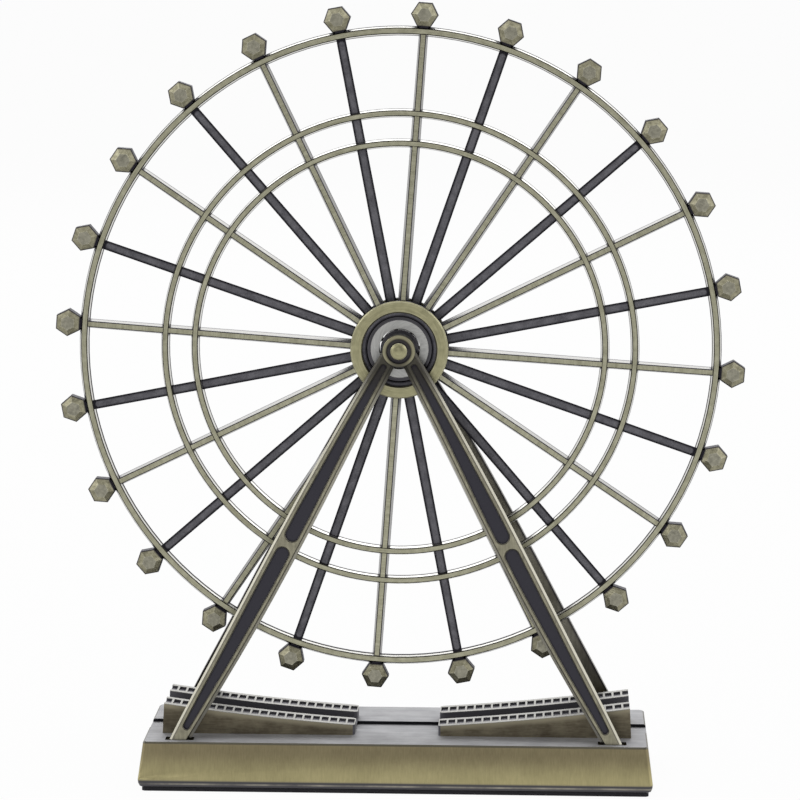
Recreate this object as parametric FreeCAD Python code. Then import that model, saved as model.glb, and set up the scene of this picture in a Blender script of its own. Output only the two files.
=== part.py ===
"""Table-top ferris wheel: a ball-bearing wheel with hexagonal cabins on two leaning A-frames.

Millimetres, +Z up.  The origin is the middle of the underside of the base pad, +X is to the
right of somebody facing the wheel, and -Y is towards that person.
"""
import FreeCAD, Part
import math
import os

V = FreeCAD.Vector

# ---- base -------------------------------------------------------------------------------
PAD_THICKNESS = 0.9
BASE_TOP = 11.2
BASE_HALF_LENGTH = 56.9          # at the top face
BASE_HALF_DEPTH = 21.0           # at the top face
BASE_BATTER = 1.16               # how far each side spreads from the top to the foot
BASE_ROLL_HEIGHT = 1.8           # the casting rolls under at its foot
BASE_ROLL_INSET = 0.8
BASE_ROLL_STEPS = 3
BASE_TOP_CHAMFER = 0.3
BASE_CORNER_RADIUS = 1.0
PAD_INSET = 0.9
CAVITY_HALF_LENGTH = 54.8
CAVITY_HALF_DEPTH = 18.9
BASE_TOP_THICKNESS = 2.2
PLATE_HALF_LENGTH = 56.0
PLATE_HALF_DEPTH = 20.1
PLATE_THICKNESS = 1.2
GROOVE_HALF_WIDTH = 4.4          # clearance channel below the wheel
GROOVE_DEPTH = 0.72

# ---- ramps ------------------------------------------------------------------------------
RAMP_INNER_X = 9.5
RAMP_OUTER_X = 53.3
RAMP_END_DRAFT = 0.35
RAMP_HALF_DEPTH = 11.2
RAMP_LOW = 2.35                  # height of the inner end above the base
RAMP_RISE = 2.93                 # height = RAMP_LOW + RAMP_RISE * u + RAMP_CURVE * u * u
RAMP_CURVE = 1.57
RAMP_FLOOR = 0.85                # thickness left under the channel
CHANNEL_HALF_WIDTH = 3.4
RAMP_CORNER_RADIUS = 1.0
TREAD_COUNT = 22
TREAD_LENGTH = 1.55              # each tread pocket along X
TREAD_WIDTH = 4.5                # each tread pocket along Y
TREAD_DEPTH = 0.5
TREAD_ROW_Y = 7.3
PEG_X = 16.0
PEG_RADIUS = 1.2
PEG_LENGTH = 1.4
PEG_CLEARANCE = 0.05
RAMP_SCREW_X = 42.0

# ---- A-frames ---------------------------------------------------------------------------
HUB_Z = 98.67
FRAME_FACE_AT_HUB = 7.0          # distance of the frame's front face from the wheel plane
FRAME_FACE_AT_FOOT = 18.4
LEG_TOP_X = 1.8
LEG_FOOT_X = 48.9
LEG_THICKNESS = 2.4
LEG_CHAMFER = 0.75
LEG_STATIONS = 9                 # points through which each edge of a leg is drawn
LEG_OVERRUN = 0.03               # share of the length by which a leg is drawn past the base top
# share of the length from hub to foot, half-width outside and inside the centre line
LEG_TOP = (0.0, 1.6, 2.3)
LEG_SHOULDER = (0.08, 2.1, 2.35)
LEG_UPPER = (0.18, 2.45, 2.5)
LEG_MIDDLE = (0.42, 2.8, 3.25)
LEG_WIDEST = (0.6, 2.6, 3.45)
LEG_LOWER = (0.8, 2.3, 3.0)
LEG_ANKLE = (0.94, 2.25, 2.3)
LEG_FOOT = (1.06, 1.8, 1.8)
LEG_SHAPE = (LEG_TOP, LEG_SHOULDER, LEG_UPPER, LEG_MIDDLE, LEG_WIDEST, LEG_LOWER, LEG_ANKLE, LEG_FOOT)
UPPER_RECESS = (0.04, 0.471)     # shares of the length between a sunk panel's two round ends
LOWER_RECESS = (0.52, 0.966)
RECESS_BORDER = 1.5              # from the leg's edge to the sunk panel's wall
RECESS_BEVEL = 0.25
RECESS_DEPTH = 0.9
BOSS_RADIUS = 3.7
BOSS_FRONT = 7.8
BOSS_BACK = 4.6
BOSS_ROUND = 0.35
BOSS_RECESS_RADIUS = 2.78
BOSS_RECESS_FLOOR = 6.9
LUG_HALF_LENGTH = 2.1
LUG_FRONT = 18.45
LUG_BACK = 15.45
LUG_BOTTOM = 7.2
LUG_GAP = 1.1                    # between a lug and the end of its slot
LUG_SIDE_GAP = 0.2
LUG_SEAT_THICKNESS = 2.0
LUG_SEAT_WALL = 1.2

# ---- axle and bearing -------------------------------------------------------------------
AXLE_RADIUS = 3.0
AXLE_END_RADIUS = 1.5
AXLE_END = 7.6
AXLE_END_CLEARANCE = 0.02
CAP_RADIUS = 1.9
CAP_FRONT = 8.45
CAP_DOME = 0.75
SPACER_RADIUS = 3.7
BEARING_HALF_WIDTH = 2.5
BALL_RADIUS = 1.1
BALL_COUNT = 7
PITCH_RADIUS = 5.4
GROOVE_RADIUS = 1.25
INNER_RACE_RADIUS = 4.35
OUTER_RACE_BORE = 6.45
OUTER_RACE_RADIUS = 7.5
RACE_CHAMFER = 0.2
SHIELD_BORE = 4.65
SHIELD_RADIUS = 6.6
SHIELD_BACK = 2.05
SHIELD_THICKNESS = 0.25
CAGE_INNER = 5.0
CAGE_OUTER = 5.8
CAGE_HALF_WIDTH = 1.45

# ---- wheel ------------------------------------------------------------------------------
BARREL_RADIUS = 10.0
BARREL_HALF_WIDTH = 2.9
FLANGE_BORE = 8.43
FLANGE_RADIUS = 11.1
FLANGE_FACE = 4.4
FLANGE_CHAMFER = 0.25
SPOKE_COUNT = 12
SPOKE_ROOT_R = 9.6
SPOKE_TIP_R = 71.6
SPOKE_FACE_WIDTH = 1.0           # outer face; the sides spread from it to the flat back
SPOKE_ROOT_BACK_WIDTH = 2.45
SPOKE_TIP_BACK_WIDTH = 2.1
SPOKE_CHAMFER = 0.2
SPOKE_ROOT_FACE = 2.85           # distances from the wheel's plane; spokes lean in to the rim
SPOKE_TIP_FACE = 0.9
SPOKE_ROOT_BACK = 0.05
SPOKE_TIP_BACK = -1.1            # past the wheel's plane
FRONT_SPOKE_ANGLE = -4.0         # degrees from +X towards +Z
REAR_SPOKE_ANGLE = 11.0
RIM_R = 71.9
RIM_HALF_RADIAL = 1.1
RIM_HALF_AXIAL = 1.4
MIDDLE_RING_R = 53.4
MIDDLE_RING_HALF_AXIAL = 1.65
INNER_RING_R = 46.6
INNER_RING_HALF_AXIAL = 1.85
RING_HALF_RADIAL = 1.0
RING_FACE_SHARE = 0.46           # of a ring's radial width, on its front and back faces
RING_CHAMFER = 0.2
RING_LAND = 0.15                 # half-width of the flat where a ring is widest
CABIN_COUNT = 24
CABIN_R = 75.7
CABIN_ACROSS_FLATS = 5.4
CABIN_HALF_DEPTH = 2.5
CABIN_SIDE_HALF_DEPTH = 1.45
CABIN_FACE_RATIO = 0.52
NECK_HALF_WIDTH = 1.0
NECK_HALF_DEPTH = 1.0

# ---- screws -----------------------------------------------------------------------------
M2_RADIUS = 0.95
M2_HEAD_RADIUS = 1.9
M2_HEAD_HEIGHT = 1.4
M2_HOLE = 1.1
LEG_SCREW_RADIUS = 0.8
LEG_SCREW_HEAD_RADIUS = 1.5
LEG_SCREW_HEAD_HEIGHT = 1.1
LEG_SCREW_HOLE = 0.95
LEG_SCREW_REACH = 3.0            # length of thread inside a lug
RAMP_SCREW_REACH = 2.4           # length of thread inside a ramp
PLATE_SCREW_X = 34.0
PLATE_SCREW_Y = 15.0
PLATE_BOSS_RADIUS = 2.4
PLATE_SCREW_REACH = 5.0
SCREW_HOLE_SPARE = 0.5           # a blind hole runs this far past its screw

PAST = 1.0                       # cutting tools run this far past the face they open

BASE_BOTTOM_X = BASE_HALF_LENGTH + BASE_BATTER
BASE_BOTTOM_Y = BASE_HALF_DEPTH + BASE_BATTER
PLATE_TOP = PAD_THICKNESS + PLATE_THICKNESS
CAVITY_TOP = BASE_TOP - BASE_TOP_THICKNESS
RAMP_LENGTH = RAMP_OUTER_X - RAMP_INNER_X
LEG_DROP = HUB_Z - BASE_TOP
LUG_Y = (LUG_FRONT + LUG_BACK) / 2
SEAT_BOTTOM = LUG_BOTTOM - LUG_SEAT_THICKNESS
SIDES = (-1, 1)
X_AXIS = V(1, 0, 0)
Y_AXIS = V(0, 1, 0)
Z_AXIS = V(0, 0, 1)
HUB = V(0, 0, HUB_Z)


def box(x0, x1, y0, y1, z0, z1):
    return Part.makeBox(x1 - x0, y1 - y0, z1 - z0, V(x0, y0, z0))


def upright(radius, x, y, z0, z1):
    return Part.makeCylinder(radius, z1 - z0, V(x, y, z0), Z_AXIS)


def disc(radius, y0, y1):
    """A disc about the wheel's axis, from y0 to y1."""
    return Part.makeCylinder(radius, y1 - y0, V(0, y0, HUB_Z), Y_AXIS)


def hoop(bore, radius, y0, y1):
    return disc(radius, y0, y1).cut(disc(bore, y0 - PAST, y1 + PAST))


def turned(shape, degrees):
    """The shape turned about the wheel's axis, from +X towards +Z."""
    copy = shape.copy()
    copy.rotate(HUB, Y_AXIS, -degrees)
    return copy


def mirrored(shape, normal):
    return shape.mirror(V(0, 0, 0), normal)


def rounded_rectangle(half_x, half_y, radius, z):
    edges = []
    corners = ((1, 1), (-1, 1), (-1, -1), (1, -1))
    for index, (sx, sy) in enumerate(corners):
        centre = V(sx * (half_x - radius), sy * (half_y - radius), z)
        start = math.radians(90 * index)
        spin = [start, start + math.pi / 4, start + math.pi / 2]
        points = [centre + V(radius * math.cos(a), radius * math.sin(a), 0) for a in spin]
        if edges:
            edges.append(Part.makeLine(edges[-1].Vertexes[-1].Point, points[0]))
        edges.append(Part.Arc(*points).toShape())
    edges.append(Part.makeLine(edges[-1].Vertexes[-1].Point, edges[0].Vertexes[0].Point))
    return Part.Wire(edges)


def rounded_block(levels, radius):
    """A solid through rounded rectangles: each level is (z, half_x, half_y)."""
    wires = [rounded_rectangle(hx, hy, radius, z) for z, hx, hy in levels]
    return Part.makeLoft(wires, True, True)


def save(name, shape):
    shape.exportStep("parts/" + name + ".step")
    print(name, "solids", len(shape.Solids), "volume", round(shape.Volume, 2), "valid", shape.isValid())


def save_group(name, solids):
    save(name, Part.makeCompound(solids))


# ---- base -------------------------------------------------------------------------------
def make_base_shell():
    foot = PAD_THICKNESS + BASE_ROLL_HEIGHT
    edge = BASE_TOP - BASE_TOP_CHAMFER
    spread = BASE_BATTER * BASE_TOP_CHAMFER / (BASE_TOP - foot)
    levels = []
    for step in range(BASE_ROLL_STEPS + 1):
        roll = math.radians(90 * step / BASE_ROLL_STEPS)
        z = PAD_THICKNESS + BASE_ROLL_HEIGHT * (1 - math.cos(roll))
        inset = BASE_ROLL_INSET * (1 - math.sin(roll))
        levels.append((z, BASE_BOTTOM_X - inset, BASE_BOTTOM_Y - inset))
    levels.append((edge, BASE_HALF_LENGTH + spread, BASE_HALF_DEPTH + spread))
    levels.append((BASE_TOP, BASE_HALF_LENGTH - BASE_TOP_CHAMFER, BASE_HALF_DEPTH - BASE_TOP_CHAMFER))
    shell = rounded_block(levels, BASE_CORNER_RADIUS)
    low = PAD_THICKNESS - PAST
    shell = shell.cut(box(-CAVITY_HALF_LENGTH, CAVITY_HALF_LENGTH,
                          -CAVITY_HALF_DEPTH, CAVITY_HALF_DEPTH, low, CAVITY_TOP))
    shell = shell.cut(box(-PLATE_HALF_LENGTH, PLATE_HALF_LENGTH,
                          -PLATE_HALF_DEPTH, PLATE_HALF_DEPTH, low, PLATE_TOP))
    shell = shell.cut(box(-BASE_BOTTOM_X, BASE_BOTTOM_X, -GROOVE_HALF_WIDTH, GROOVE_HALF_WIDTH,
                          BASE_TOP - GROOVE_DEPTH, BASE_TOP + PAST))
    holes = []
    for sx in SIDES:
        for sy in SIDES:
            seat_x = LUG_HALF_LENGTH + LUG_GAP
            seat_y = (LUG_FRONT - LUG_BACK) / 2 + LUG_SIDE_GAP
            x = sx * LEG_FOOT_X
            y = sy * LUG_Y
            shell = shell.fuse(box(x - seat_x - LUG_SEAT_WALL, x + seat_x + LUG_SEAT_WALL,
                                   y - seat_y - LUG_SEAT_WALL, y + seat_y + LUG_SEAT_WALL,
                                   SEAT_BOTTOM, CAVITY_TOP))
            holes.append(box(x - seat_x, x + seat_x, y - seat_y, y + seat_y,
                             LUG_BOTTOM, BASE_TOP + PAST))
            holes.append(upright(LEG_SCREW_HOLE, x, y, SEAT_BOTTOM - PAST, LUG_BOTTOM + PAST))
            boss_x = sx * PLATE_SCREW_X
            boss_y = sy * PLATE_SCREW_Y
            shell = shell.fuse(upright(PLATE_BOSS_RADIUS, boss_x, boss_y, PLATE_TOP, CAVITY_TOP))
            holes.append(upright(M2_RADIUS, boss_x, boss_y, PLATE_TOP - PAST,
                                 PLATE_TOP + PLATE_SCREW_REACH + SCREW_HOLE_SPARE))
            holes.append(upright(M2_HOLE, sx * RAMP_SCREW_X, sy * TREAD_ROW_Y,
                                 CAVITY_TOP - PAST, BASE_TOP + PAST))
            holes.append(upright(PEG_RADIUS + PEG_CLEARANCE, sx * PEG_X, sy * TREAD_ROW_Y,
                                 BASE_TOP - PEG_LENGTH, BASE_TOP + PAST))
    return shell.cut(holes).removeSplitter()


def countersunk(x, y, radius):
    """A countersunk head flush with the underside of the plate, down to the given shank."""
    head = Part.makeCone(M2_HEAD_RADIUS, M2_RADIUS, M2_HEAD_RADIUS - M2_RADIUS,
                         V(x, y, PAD_THICKNESS), Z_AXIS)
    return head.fuse(upright(radius, x, y, PAD_THICKNESS, PLATE_TOP))


def make_base_plate():
    plate = box(-PLATE_HALF_LENGTH, PLATE_HALF_LENGTH, -PLATE_HALF_DEPTH, PLATE_HALF_DEPTH,
                PAD_THICKNESS, PLATE_TOP)
    for sx in SIDES:
        for sy in SIDES:
            plate = plate.cut(countersunk(sx * PLATE_SCREW_X, sy * PLATE_SCREW_Y, M2_RADIUS))
    return plate


def make_plate_screws():
    screws = []
    for sx in SIDES:
        for sy in SIDES:
            x = sx * PLATE_SCREW_X
            y = sy * PLATE_SCREW_Y
            shank = upright(M2_RADIUS, x, y, PLATE_TOP, PLATE_TOP + PLATE_SCREW_REACH)
            screws.append(countersunk(x, y, M2_RADIUS).fuse(shank).removeSplitter())
    return screws


def make_base_pad():
    half_x = BASE_BOTTOM_X - PAD_INSET
    half_y = BASE_BOTTOM_Y - PAD_INSET
    return rounded_block([(0, half_x, half_y), (PAD_THICKNESS, half_x, half_y)], BASE_CORNER_RADIUS)


# ---- ramps ------------------------------------------------------------------------------
def ramp_height(u):
    return BASE_TOP + RAMP_LOW + RAMP_RISE * u + RAMP_CURVE * u * u


def ramp_slope(u):
    """Slope of the ramp's top in degrees, u being the share of its length from the inner end."""
    return math.degrees(math.atan((RAMP_RISE + 2 * RAMP_CURVE * u) / RAMP_LENGTH))


def make_right_ramp():
    inner_low = V(RAMP_INNER_X, -RAMP_HALF_DEPTH, BASE_TOP)
    inner_high = V(RAMP_INNER_X, -RAMP_HALF_DEPTH, ramp_height(0))
    middle_high = V(RAMP_INNER_X + RAMP_LENGTH / 2, -RAMP_HALF_DEPTH, ramp_height(0.5))
    outer_high = V(RAMP_OUTER_X - RAMP_END_DRAFT, -RAMP_HALF_DEPTH, ramp_height(1))
    outer_low = V(RAMP_OUTER_X, -RAMP_HALF_DEPTH, BASE_TOP)
    outline = Part.Wire([
        Part.makeLine(inner_low, inner_high),
        Part.Arc(inner_high, middle_high, outer_high).toShape(),
        Part.makeLine(outer_high, outer_low),
        Part.makeLine(outer_low, inner_low),
    ])
    ramp = Part.Face(outline).extrude(V(0, 2 * RAMP_HALF_DEPTH, 0))
    ramp = ramp.cut(box(RAMP_INNER_X - PAST, RAMP_OUTER_X + PAST,
                        -CHANNEL_HALF_WIDTH, CHANNEL_HALF_WIDTH,
                        BASE_TOP + RAMP_FLOOR, 2 * BASE_TOP))
    corners = [edge for edge in ramp.Edges if is_inner_corner(edge)]
    ramp = ramp.makeFillet(RAMP_CORNER_RADIUS, corners)
    pockets = []
    for index in range(TREAD_COUNT):
        u = (index + 0.5) / TREAD_COUNT
        x = RAMP_INNER_X + u * RAMP_LENGTH
        z = ramp_height(u)
        for side in SIDES:
            y = side * TREAD_ROW_Y
            pocket = box(x - TREAD_LENGTH / 2, x + TREAD_LENGTH / 2,
                         y - TREAD_WIDTH / 2, y + TREAD_WIDTH / 2, z - TREAD_DEPTH, z + PAST)
            pocket.rotate(V(x, y, z), Y_AXIS, -ramp_slope(u))
            pockets.append(pocket)
    for side in SIDES:
        y = side * TREAD_ROW_Y
        peg = upright(PEG_RADIUS, PEG_X, y, BASE_TOP - PEG_LENGTH, BASE_TOP)
        ramp = ramp.fuse(peg)
        pockets.append(upright(M2_RADIUS, RAMP_SCREW_X, y, BASE_TOP - PAST,
                               BASE_TOP + RAMP_SCREW_REACH + SCREW_HOLE_SPARE))
    return ramp.cut(pockets)


def is_inner_corner(edge):
    """True for the upright edges at the ramp's low inner end."""
    first = edge.Vertexes[0].Point
    last = edge.Vertexes[-1].Point
    upright_edge = abs(first.z - last.z) > RAMP_FLOOR + RAMP_CORNER_RADIUS / 10
    return upright_edge and max(first.x, last.x) < RAMP_INNER_X + RAMP_CORNER_RADIUS / 10


def make_ramp_screws():
    screws = []
    for sx in SIDES:
        for sy in SIDES:
            x = sx * RAMP_SCREW_X
            y = sy * TREAD_ROW_Y
            head = upright(M2_HEAD_RADIUS, x, y, CAVITY_TOP - M2_HEAD_HEIGHT, CAVITY_TOP)
            shank = upright(M2_RADIUS, x, y, CAVITY_TOP, BASE_TOP + RAMP_SCREW_REACH)
            screws.append(head.fuse(shank))
    return screws


# ---- A-frames ---------------------------------------------------------------------------
def leg_half_widths(share):
    """Half-widths outside and inside the centre line at a share of the length."""
    for near, far in zip(LEG_SHAPE, LEG_SHAPE[1:]):
        if near[0] <= share <= far[0]:
            part = (share - near[0]) / (far[0] - near[0])
            outside = near[1] + part * (far[1] - near[1])
            inside = near[2] + part * (far[2] - near[2])
            return outside, inside


def leg_outline(start, end, inset, height, round_ends):
    """A closed outline in the leg's own plane: X runs down the leg and Y points outward."""
    outer = []
    inner = []
    for index in range(LEG_STATIONS):
        share = start + (end - start) * index / (LEG_STATIONS - 1)
        outside, inside = leg_half_widths(share)
        outer.append(V(share * LEG_LENGTH, outside - inset, height))
        inner.append(V(share * LEG_LENGTH, inset - inside, height))
    edges = [spline(outer), end_edge(outer[-1], inner[-1], 1, round_ends)]
    inner.reverse()
    edges += [spline(inner), end_edge(inner[-1], outer[0], -1, round_ends)]
    return Part.Wire(edges)


def spline(points):
    curve = Part.BSplineCurve()
    curve.interpolate(points)
    return curve.toShape()


def end_edge(first, last, direction, rounded):
    if not rounded:
        return Part.makeLine(first, last)
    middle = (first + last) * 0.5
    reach = direction * first.distanceToPoint(last) / 2
    return Part.Arc(first, middle + V(reach, 0, 0), last).toShape()


def make_right_leg():
    """One leg in its own plane: the front face at Z = 0, the hub at X = 0."""
    end = 1 + LEG_OVERRUN
    back = leg_outline(0, end, 0, -LEG_THICKNESS, False)
    edge = leg_outline(0, end, 0, -LEG_CHAMFER, False)
    face = leg_outline(0, end, LEG_CHAMFER, 0, False)
    leg = Part.makeLoft([back, edge, face], True, True)
    for start, stop in (UPPER_RECESS, LOWER_RECESS):
        floor = leg_outline(start, stop, RECESS_BORDER, -RECESS_DEPTH, True)
        wall = leg_outline(start, stop, RECESS_BORDER, -RECESS_BEVEL, True)
        mouth = leg_outline(start, stop, RECESS_BORDER - RECESS_BEVEL, 0, True)
        leg = leg.cut(Part.makeLoft([floor, wall, mouth], True, True))
    return leg


def make_front_frame():
    lean = math.atan((FRAME_FACE_AT_FOOT - FRAME_FACE_AT_HUB) / LEG_DROP)
    down = V(0, -math.sin(lean), -math.cos(lean))
    face_normal = V(0, -math.cos(lean), math.sin(lean))
    along = X_AXIS * math.sin(LEG_ANGLE) + down * math.cos(LEG_ANGLE)
    across = face_normal.cross(along)
    pose = FreeCAD.Placement(V(LEG_TOP_X, -FRAME_FACE_AT_HUB, HUB_Z),
                             FreeCAD.Rotation(along, across, face_normal, "XYZ"))
    leg = make_right_leg()
    leg.Placement = pose
    below = box(0, 2 * LEG_FOOT_X, -2 * FRAME_FACE_AT_FOOT, 0, 0, BASE_TOP)
    lug = box(LEG_FOOT_X - LUG_HALF_LENGTH, LEG_FOOT_X + LUG_HALF_LENGTH,
              -LUG_FRONT, -LUG_BACK, LUG_BOTTOM, BASE_TOP)
    leg = leg.cut(below).fuse(lug)
    leg = leg.cut(upright(LEG_SCREW_RADIUS, LEG_FOOT_X, -LUG_Y, LUG_BOTTOM - PAST,
                          LUG_BOTTOM + LEG_SCREW_REACH + SCREW_HOLE_SPARE))
    boss = disc(BOSS_RADIUS, -BOSS_FRONT, -BOSS_BACK)
    rims = [edge for edge in boss.Edges if abs(edge.CenterOfMass.y + BOSS_FRONT) < BOSS_ROUND / 10]
    boss = boss.makeFillet(BOSS_ROUND, rims)
    frame = boss.fuse([leg, mirrored(leg, X_AXIS)])
    frame = frame.cut(disc(BOSS_RECESS_RADIUS, -BOSS_FRONT - PAST, -BOSS_RECESS_FLOOR))
    frame = frame.cut(disc(AXLE_END_RADIUS + AXLE_END_CLEARANCE, -BOSS_FRONT, 0))
    return frame.cut(disc(BOSS_RADIUS + PAST, -BOSS_BACK, 0))


LEG_RUN = LEG_FOOT_X - LEG_TOP_X
LEG_LEAN_DROP = math.hypot(LEG_DROP, FRAME_FACE_AT_FOOT - FRAME_FACE_AT_HUB)
LEG_LENGTH = math.hypot(LEG_RUN, LEG_LEAN_DROP)
LEG_ANGLE = math.atan(LEG_RUN / LEG_LEAN_DROP)


def make_leg_screws():
    screws = []
    for sx in SIDES:
        for sy in SIDES:
            x = sx * LEG_FOOT_X
            y = sy * LUG_Y
            head = upright(LEG_SCREW_HEAD_RADIUS, x, y, SEAT_BOTTOM - LEG_SCREW_HEAD_HEIGHT, SEAT_BOTTOM)
            shank = upright(LEG_SCREW_RADIUS, x, y, SEAT_BOTTOM, LUG_BOTTOM + LEG_SCREW_REACH)
            screws.append(head.fuse(shank))
    return screws


# ---- axle and bearing -------------------------------------------------------------------
def make_axle():
    axle = disc(AXLE_RADIUS, -BOSS_BACK, BOSS_BACK)
    return axle.fuse(disc(AXLE_END_RADIUS, -AXLE_END, AXLE_END))


def make_front_cap():
    cap = disc(CAP_RADIUS, -CAP_FRONT, -BOSS_RECESS_FLOOR)
    dome_radius = (CAP_RADIUS ** 2 + CAP_DOME ** 2) / (2 * CAP_DOME)
    dome = Part.makeSphere(dome_radius, V(0, dome_radius - CAP_FRONT, HUB_Z))
    return cap.common(dome).cut(disc(AXLE_END_RADIUS, -AXLE_END, 0))


def race_groove():
    """The ring swept by the ball track of both races."""
    return Part.makeTorus(PITCH_RADIUS, GROOVE_RADIUS, HUB, Y_AXIS)


def make_inner_race():
    race = hoop(AXLE_RADIUS, INNER_RACE_RADIUS, -BEARING_HALF_WIDTH, BEARING_HALF_WIDTH)
    return race.cut(race_groove())


def make_outer_race():
    race = disc(OUTER_RACE_RADIUS, -BEARING_HALF_WIDTH, BEARING_HALF_WIDTH)
    race = race.makeChamfer(RACE_CHAMFER, [edge for edge in race.Edges if len(edge.Vertexes) == 1])
    race = race.cut(disc(OUTER_RACE_BORE, -BEARING_HALF_WIDTH - PAST, BEARING_HALF_WIDTH + PAST))
    for side in SIDES:
        seat = sorted((side * SHIELD_BACK, side * (BEARING_HALF_WIDTH + PAST)))
        race = race.cut(disc(SHIELD_RADIUS, *seat))
    return race.cut(race_groove())


def make_front_shield():
    return hoop(SHIELD_BORE, SHIELD_RADIUS, -SHIELD_BACK - SHIELD_THICKNESS, -SHIELD_BACK)


def make_balls():
    balls = []
    for index in range(BALL_COUNT):
        ball = Part.makeSphere(BALL_RADIUS, V(PITCH_RADIUS, 0, HUB_Z))
        balls.append(turned(ball, 360.0 * index / BALL_COUNT))
    return balls


def make_cage():
    cage = hoop(CAGE_INNER, CAGE_OUTER, -CAGE_HALF_WIDTH, CAGE_HALF_WIDTH)
    return cage.cut(make_balls())


# ---- wheel ------------------------------------------------------------------------------
def make_front_flange():
    flange = hoop(FLANGE_BORE, FLANGE_RADIUS, -FLANGE_FACE, -BARREL_HALF_WIDTH)
    rims = [edge for edge in flange.Edges
            if len(edge.Vertexes) == 1 and abs(edge.CenterOfMass.y + FLANGE_FACE) < FLANGE_CHAMFER / 10]
    return flange.makeChamfer(FLANGE_CHAMFER, rims)


def make_ring(radius, half_radial, half_axial):
    """A ring with narrow front and back faces, widest in the wheel's plane."""
    half_face = half_radial * RING_FACE_SHARE
    quarter = [(half_face, half_axial), (half_face + RING_CHAMFER, half_axial - RING_CHAMFER),
               (half_radial, RING_LAND)]
    half = quarter + [(out, -y) for out, y in reversed(quarter)]
    outline = half + [(-out, -y) for out, y in half]
    points = [V(radius + out, y, HUB_Z) for out, y in outline]
    section = Part.makePolygon(points + points[:1])
    return Part.Face(section).revolve(HUB, Y_AXIS, 360)


def spoke_section(x, face, back, back_width):
    half_face = SPOKE_FACE_WIDTH / 2
    side = [(-face, half_face), (SPOKE_CHAMFER - face, half_face + SPOKE_CHAMFER), (-back, back_width / 2)]
    points = [V(x, y, HUB_Z + z) for y, z in side]
    points += [V(x, y, HUB_Z - z) for y, z in reversed(side)]
    return Part.makePolygon(points + points[:1])


def make_spoke(rim, barrel):
    """A front spoke along +X: narrow in front, flat and wide at the back."""
    root = spoke_section(SPOKE_ROOT_R, SPOKE_ROOT_FACE, SPOKE_ROOT_BACK, SPOKE_ROOT_BACK_WIDTH)
    tip = spoke_section(SPOKE_TIP_R, SPOKE_TIP_FACE, SPOKE_TIP_BACK, SPOKE_TIP_BACK_WIDTH)
    return Part.makeLoft([root, tip], True, True).cut([rim, barrel])


def ring_of_spokes(spoke, angle):
    return [turned(spoke, angle + 360.0 * index / SPOKE_COUNT) for index in range(SPOKE_COUNT)]


def hexagon(across_flats, y):
    corner = across_flats / math.sqrt(3)
    points = []
    for index in range(7):
        a = math.radians(30 + 60 * index)
        points.append(V(CABIN_R + corner * math.cos(a), y, HUB_Z + corner * math.sin(a)))
    return Part.makePolygon(points)


def make_cabin(rim):
    face = CABIN_ACROSS_FLATS * CABIN_FACE_RATIO
    cabin = Part.makeLoft([
        hexagon(face, -CABIN_HALF_DEPTH),
        hexagon(CABIN_ACROSS_FLATS, -CABIN_SIDE_HALF_DEPTH),
        hexagon(CABIN_ACROSS_FLATS, CABIN_SIDE_HALF_DEPTH),
        hexagon(face, CABIN_HALF_DEPTH),
    ], True, True)
    neck = box(RIM_R, CABIN_R, -NECK_HALF_DEPTH, NECK_HALF_DEPTH,
               HUB_Z - NECK_HALF_WIDTH, HUB_Z + NECK_HALF_WIDTH)
    return cabin.fuse(neck).cut(rim)


os.makedirs("parts", exist_ok=True)

save("base_shell", make_base_shell())
save("base_plate", make_base_plate())
save_group("base_plate_screws", make_plate_screws())
save("base_pad", make_base_pad())

right_ramp = make_right_ramp()
save("right_ramp", right_ramp)
save("left_ramp", mirrored(right_ramp, X_AXIS))
save_group("ramp_screws", make_ramp_screws())

front_frame = make_front_frame()
save("front_frame", front_frame)
save("rear_frame", mirrored(front_frame, Y_AXIS))
save_group("leg_screws", make_leg_screws())

save("axle", make_axle())
front_cap = make_front_cap()
save("front_axle_cap", front_cap)
save("rear_axle_cap", mirrored(front_cap, Y_AXIS))
front_spacer = hoop(AXLE_RADIUS, SPACER_RADIUS, -BOSS_BACK, -BEARING_HALF_WIDTH)
save("front_spacer", front_spacer)
save("rear_spacer", mirrored(front_spacer, Y_AXIS))

save("bearing_inner_race", make_inner_race())
save("bearing_outer_race", make_outer_race())
front_shield = make_front_shield()
save("front_shield", front_shield)
save("rear_shield", mirrored(front_shield, Y_AXIS))
save_group("bearing_balls", make_balls())
save("bearing_cage", make_cage())

hub_barrel = hoop(OUTER_RACE_RADIUS, BARREL_RADIUS, -BARREL_HALF_WIDTH, BARREL_HALF_WIDTH)
save("hub_barrel", hub_barrel)
front_flange = make_front_flange()
save("front_flange", front_flange)
save("rear_flange", mirrored(front_flange, Y_AXIS))

outer_rim = make_ring(RIM_R, RIM_HALF_RADIAL, RIM_HALF_AXIAL)
save("rim", outer_rim)
barrel_core = disc(BARREL_RADIUS, -FLANGE_FACE, FLANGE_FACE)
front_spoke = make_spoke(outer_rim, barrel_core)
front_spokes = ring_of_spokes(front_spoke, FRONT_SPOKE_ANGLE)
rear_spokes = ring_of_spokes(mirrored(front_spoke, Y_AXIS), REAR_SPOKE_ANGLE)
save_group("front_spokes", front_spokes)
save_group("rear_spokes", rear_spokes)
all_spokes = front_spokes + rear_spokes
save("middle_ring", make_ring(MIDDLE_RING_R, RING_HALF_RADIAL, MIDDLE_RING_HALF_AXIAL).cut(all_spokes))
save("inner_ring", make_ring(INNER_RING_R, RING_HALF_RADIAL, INNER_RING_HALF_AXIAL).cut(all_spokes))

cabin_on_axis = make_cabin(outer_rim)
for cabin_index in range(CABIN_COUNT):
    cabin_angle = FRONT_SPOKE_ANGLE + 360.0 * cabin_index / CABIN_COUNT
    save("cabin_%02d" % (cabin_index + 1), turned(cabin_on_axis, cabin_angle))
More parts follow.
